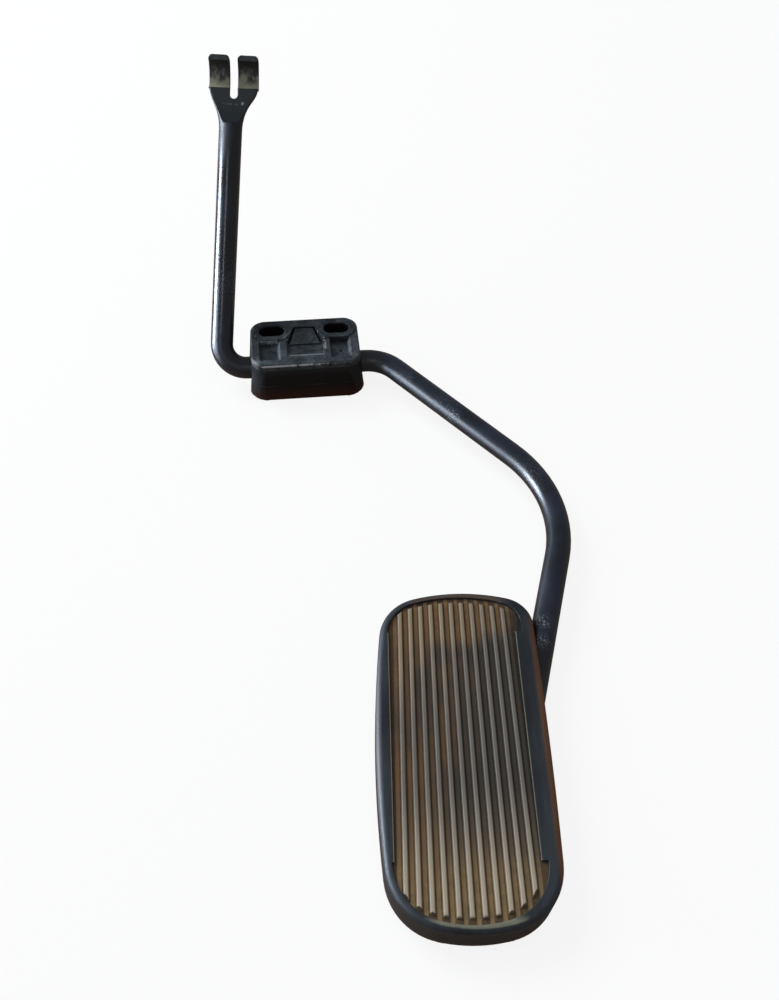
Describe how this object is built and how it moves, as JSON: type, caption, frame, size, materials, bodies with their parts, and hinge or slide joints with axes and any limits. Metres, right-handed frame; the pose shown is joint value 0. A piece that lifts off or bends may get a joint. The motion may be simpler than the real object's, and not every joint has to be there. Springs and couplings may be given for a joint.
{
  "type": "accelerator pedal",
  "caption": "Organ-type accelerator pedal: bent bar turning in a slotted bearing block, with a forked throttle cable end above and a ribbed foot pad below.",
  "frame": {"origin": "middle between the two bolt slots, on the mounting face", "axes": "+X along the journal axis, from the arm side to the shank side; +Y toward the cable end; +Z out of the mounting face toward the driver"},
  "size_m": [0.1443, 0.3403, 0.1134],
  "materials": {
    "bar_paint": "gloss black paint, rubbed, bare metal in the cable seat",
    "pad_rubber": "worn black moulding, brown dust between the ribs",
    "block_plastic": "satin black, scuffed edges, thin dust",
    "clip_plastic": "satin black, scuffed"
  },
  "bodies": {
    "bearing_block": {"bearing_housing": "block_plastic", "retaining_clip": "clip_plastic"},
    "pedal": {"pedal_bar": "bar_paint", "foot_pad": "pad_rubber"}
  },
  "joints": [
    {"name": "pedal_hinge", "type": "hinge", "parent": "bearing_block", "child": "pedal", "pos_m": [0, -0.0118, 0.01], "axis": [-1, 0, 0], "range_deg": [0, 40]}
  ]
}
